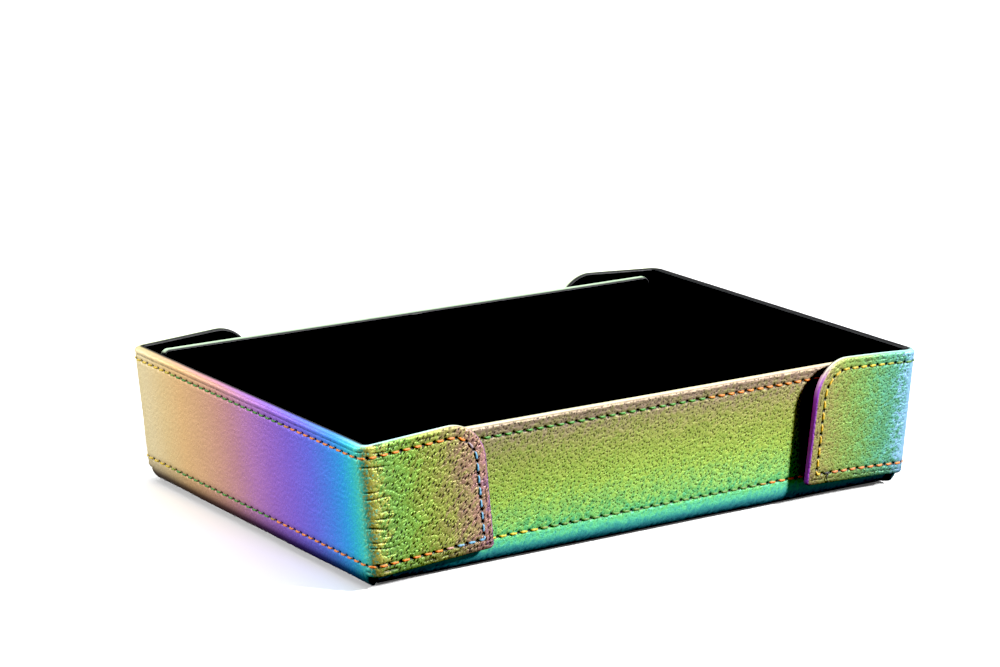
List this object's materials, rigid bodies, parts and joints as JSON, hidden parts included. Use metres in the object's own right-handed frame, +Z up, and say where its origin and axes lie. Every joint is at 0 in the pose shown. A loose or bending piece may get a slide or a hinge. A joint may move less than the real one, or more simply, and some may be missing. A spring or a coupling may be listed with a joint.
{
  "type": "folding dice tray",
  "caption": "Rectangular folding dice tray: stiff walls on soft folds, held up by tabs that wrap the corners, with a velvet-lined inside.",
  "frame": {"origin": "middle of the underside, on the surface that the tray stands on", "axes": "+X along the length, +Y towards the back long wall, +Z up"},
  "size_m": [0.25, 0.1702, 0.0553],
  "materials": {
    "leatherette": "pebbled, metallic, colour-shifting",
    "velvet": "short black pile",
    "board": "grey pressed board",
    "foam": "felt",
    "thread": "variegated polyester",
    "magnet": "nickel plated"
  },
  "bodies": {
    "base": {"base_cover": "leatherette", "base_board": "board", "base_lining": "velvet", "front_fold_leather": "leatherette", "front_fold_velvet": "velvet", "back_fold_leather": "leatherette", "back_fold_velvet": "velvet", "left_fold_leather": "leatherette", "left_fold_velvet": "velvet", "right_fold_leather": "leatherette", "right_fold_velvet": "velvet"},
    "front_wall": {"front_wall_cover": "leatherette", "front_wall_board": "board", "front_wall_lining": "velvet", "front_wall_thread": "thread", "front_wall_magnets": "magnet"},
    "back_wall": {"back_wall_cover": "leatherette", "back_wall_board": "board", "back_wall_lining": "velvet", "back_wall_thread": "thread", "back_wall_magnets": "magnet"},
    "left_wall": {"left_wall_cover": "leatherette", "left_wall_board": "board", "left_wall_lining": "velvet", "left_wall_thread": "thread", "front_left_corner_leather": "leatherette", "front_left_corner_velvet": "velvet", "back_left_corner_leather": "leatherette", "back_left_corner_velvet": "velvet"},
    "right_wall": {"right_wall_cover": "leatherette", "right_wall_board": "board", "right_wall_lining": "velvet", "right_wall_thread": "thread", "front_right_corner_leather": "leatherette", "front_right_corner_velvet": "velvet", "back_right_corner_leather": "leatherette", "back_right_corner_velvet": "velvet"},
    "front_left_tab": {"front_left_tab_cover": "leatherette", "front_left_tab_filler": "foam", "front_left_tab_lining": "velvet", "front_left_tab_thread": "thread", "front_left_tab_magnet": "magnet"},
    "front_right_tab": {"front_right_tab_cover": "leatherette", "front_right_tab_filler": "foam", "front_right_tab_lining": "velvet", "front_right_tab_thread": "thread", "front_right_tab_magnet": "magnet"},
    "back_left_tab": {"back_left_tab_cover": "leatherette", "back_left_tab_filler": "foam", "back_left_tab_lining": "velvet", "back_left_tab_thread": "thread", "back_left_tab_magnet": "magnet"},
    "back_right_tab": {"back_right_tab_cover": "leatherette", "back_right_tab_filler": "foam", "back_right_tab_lining": "velvet", "back_right_tab_thread": "thread", "back_right_tab_magnet": "magnet"}
  },
  "joints": [
    {"name": "front_wall_fold", "type": "hinge", "parent": "base", "child": "front_wall", "pos_m": [0, -0.0787, 0.0015], "axis": [1, 0, 0], "range_deg": [0, 90], "deforming": ["front_fold_leather", "front_fold_velvet", "front_left_tab_cover", "front_left_tab_filler", "front_left_tab_lining", "front_left_tab_thread", "front_left_tab_magnet", "front_right_tab_cover", "front_right_tab_filler", "front_right_tab_lining", "front_right_tab_thread", "front_right_tab_magnet"]},
    {"name": "back_wall_fold", "type": "hinge", "parent": "base", "child": "back_wall", "pos_m": [0, 0.0787, 0.0015], "axis": [-1, 0, 0], "range_deg": [0, 90], "deforming": ["back_fold_leather", "back_fold_velvet", "back_left_tab_cover", "back_left_tab_filler", "back_left_tab_lining", "back_left_tab_thread", "back_left_tab_magnet", "back_right_tab_cover", "back_right_tab_filler", "back_right_tab_lining", "back_right_tab_thread", "back_right_tab_magnet"]},
    {"name": "left_wall_fold", "type": "hinge", "parent": "base", "child": "left_wall", "pos_m": [-0.11826, 0, 0.0013], "axis": [0, -1, 0], "range_deg": [-6, 84], "deforming": ["left_fold_leather", "left_fold_velvet"]},
    {"name": "right_wall_fold", "type": "hinge", "parent": "base", "child": "right_wall", "pos_m": [0.11826, 0, 0.0013], "axis": [0, 1, 0], "range_deg": [-6, 84], "deforming": ["right_fold_leather", "right_fold_velvet"]},
    {"name": "front_left_tab_fold", "type": "hinge", "parent": "left_wall", "child": "front_left_tab", "pos_m": [-0.1184, -0.08397, 0.00011], "axis": [0.1045, 0, -0.9945], "range_deg": [0, 90], "deforming": ["front_left_corner_leather", "front_left_corner_velvet"]},
    {"name": "front_right_tab_fold", "type": "hinge", "parent": "right_wall", "child": "front_right_tab", "pos_m": [0.1184, -0.08397, 0.00011], "axis": [0.1045, 0, 0.9945], "range_deg": [0, 90], "deforming": ["front_right_corner_leather", "front_right_corner_velvet"]},
    {"name": "back_left_tab_fold", "type": "hinge", "parent": "left_wall", "child": "back_left_tab", "pos_m": [-0.1184, 0.08397, 0.00011], "axis": [-0.1045, 0, 0.9945], "range_deg": [0, 90], "deforming": ["back_left_corner_leather", "back_left_corner_velvet"]},
    {"name": "back_right_tab_fold", "type": "hinge", "parent": "right_wall", "child": "back_right_tab", "pos_m": [0.1184, 0.08397, 0.00011], "axis": [-0.1045, 0, -0.9945], "range_deg": [0, 90], "deforming": ["back_right_corner_leather", "back_right_corner_velvet"]}
  ]
}
